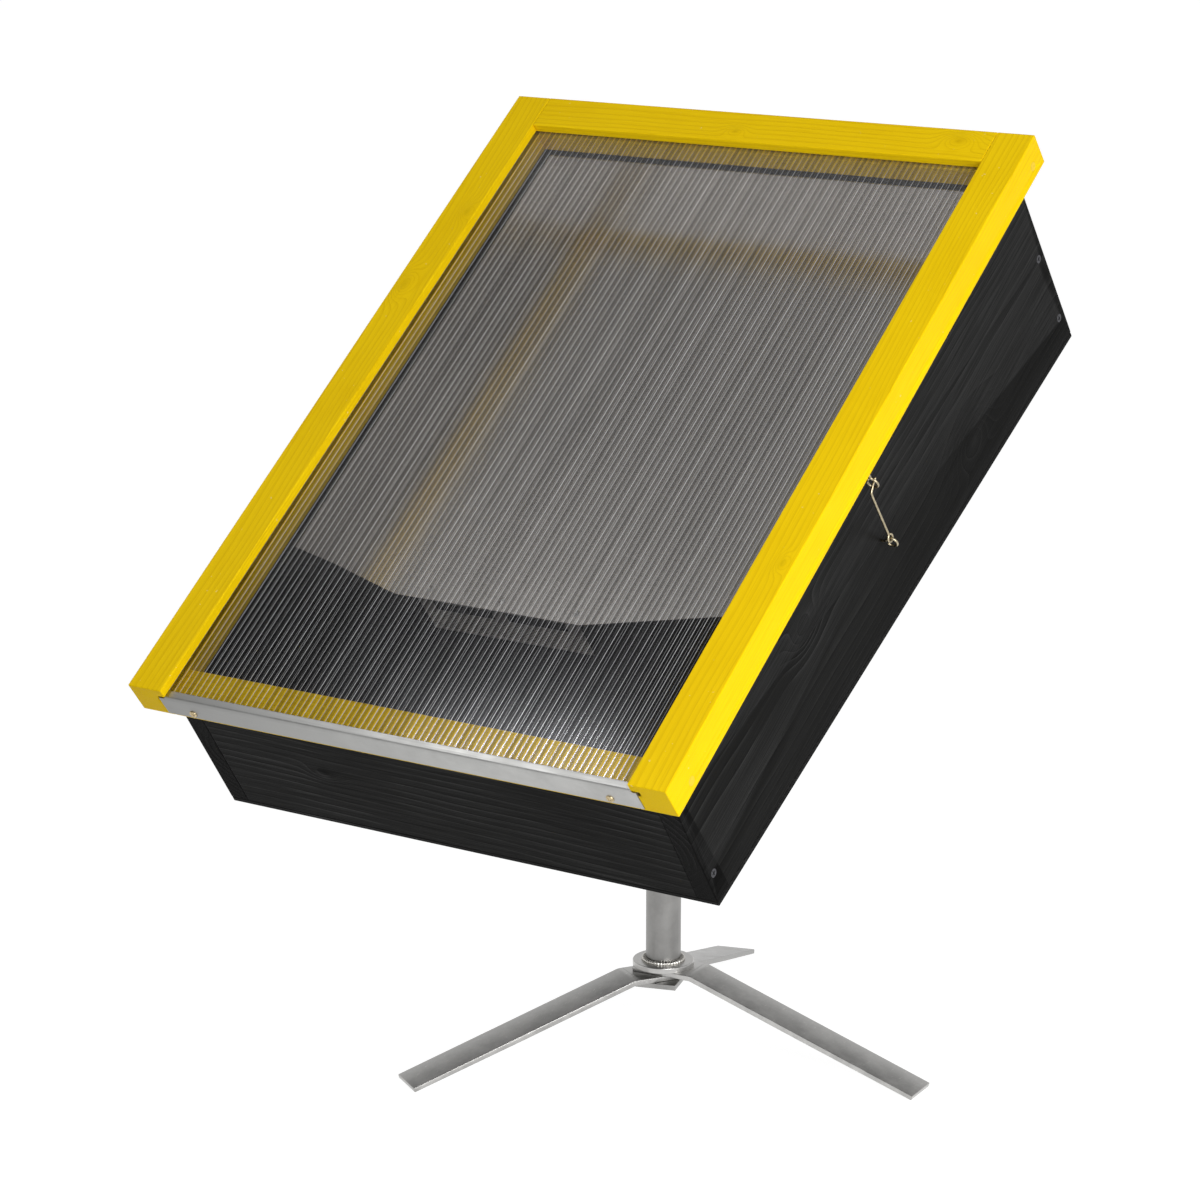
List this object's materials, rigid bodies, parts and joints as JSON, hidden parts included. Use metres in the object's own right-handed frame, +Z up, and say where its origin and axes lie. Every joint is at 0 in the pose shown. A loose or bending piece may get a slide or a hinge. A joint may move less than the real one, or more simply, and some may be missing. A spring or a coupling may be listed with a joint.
{
  "type": "solar wax melter",
  "caption": "Wedge-shaped wooden solar box with a glazed yellow lid, tilted on a swivelling steel pole with splayed flat legs, for melting beeswax.",
  "frame": {"origin": "middle of the whole part's footprint box on the floor", "axes": "+Z up, +X to the right as seen from the low end, +Y towards the high end"},
  "size_m": [0.545, 0.6912, 0.8366],
  "materials": {
    "yellow_wood": "satin paint",
    "yellow_filler": "matte",
    "black_wood": "matt paint",
    "twin_wall_sheet": "clear ribbed",
    "strip_metal": "mill",
    "stainless": "brushed",
    "enamel": "gloss enamel",
    "fastener_steel": "bright zinc",
    "yellow_zinc": "yellow passivated",
    "hinge_steel": "bright zinc"
  },
  "bodies": {
    "stand": {"leg_right": "stainless", "leg_left": "stainless", "leg_back": "stainless", "hub_flange": "stainless", "post": "stainless", "post_weld": "stainless", "hub_bolt": "fastener_steel", "hub_nut": "fastener_steel"},
    "box": {"swivel_socket": "stainless", "socket_stop": "stainless", "swivel_plate": "stainless", "plate_screws": "fastener_steel", "mount_board": "black_wood", "bottom_panel": "black_wood", "side_board_left": "black_wood", "side_board_right": "black_wood", "front_board": "black_wood", "rear_board": "black_wood", "board_screws": "fastener_steel", "tray_rail_left": "black_wood", "tray_rail_right": "black_wood", "tray_rail_screws_left": "fastener_steel", "tray_rail_screws_right": "fastener_steel", "melting_tray": "stainless", "strainer": "stainless", "strainer_rivets": "fastener_steel", "wax_pan": "enamel", "side_eye": "yellow_zinc", "hinge_box_leaves": "hinge_steel", "hinge_box_screws": "hinge_steel", "hinge_pins": "hinge_steel"},
    "lid": {"lid_stile_left": "yellow_wood", "lid_stile_right": "yellow_wood", "lid_top_rail": "yellow_wood", "lid_bottom_rail": "yellow_wood", "glazing_sheet": "twin_wall_sheet", "edge_strip": "strip_metal", "strip_screws": "fastener_steel", "lid_corner_screws": "fastener_steel", "screw_fillers": "yellow_filler", "lid_eye": "yellow_zinc", "hinge_lid_leaves": "hinge_steel", "hinge_lid_screws": "hinge_steel"},
    "hook": {"latch_hook": "yellow_zinc"}
  },
  "joints": [
    {"name": "box_swivel", "type": "hinge", "parent": "stand", "child": "box", "pos_m": [0, 0.06425, 0.412], "axis": [0, 0, 1], "continuous": true},
    {"name": "lid_hinge", "type": "hinge", "parent": "box", "child": "lid", "pos_m": [-0.2555, -0.03891, 0.58602], "axis": [0, -0.788, -0.6157], "range_deg": [0, 103]},
    {"name": "hook_swing", "type": "hinge", "parent": "box", "child": "hook", "pos_m": [0.262, 0.00768, 0.52153], "axis": [1, 0, 0], "range_deg": [0, 165]}
  ]
}
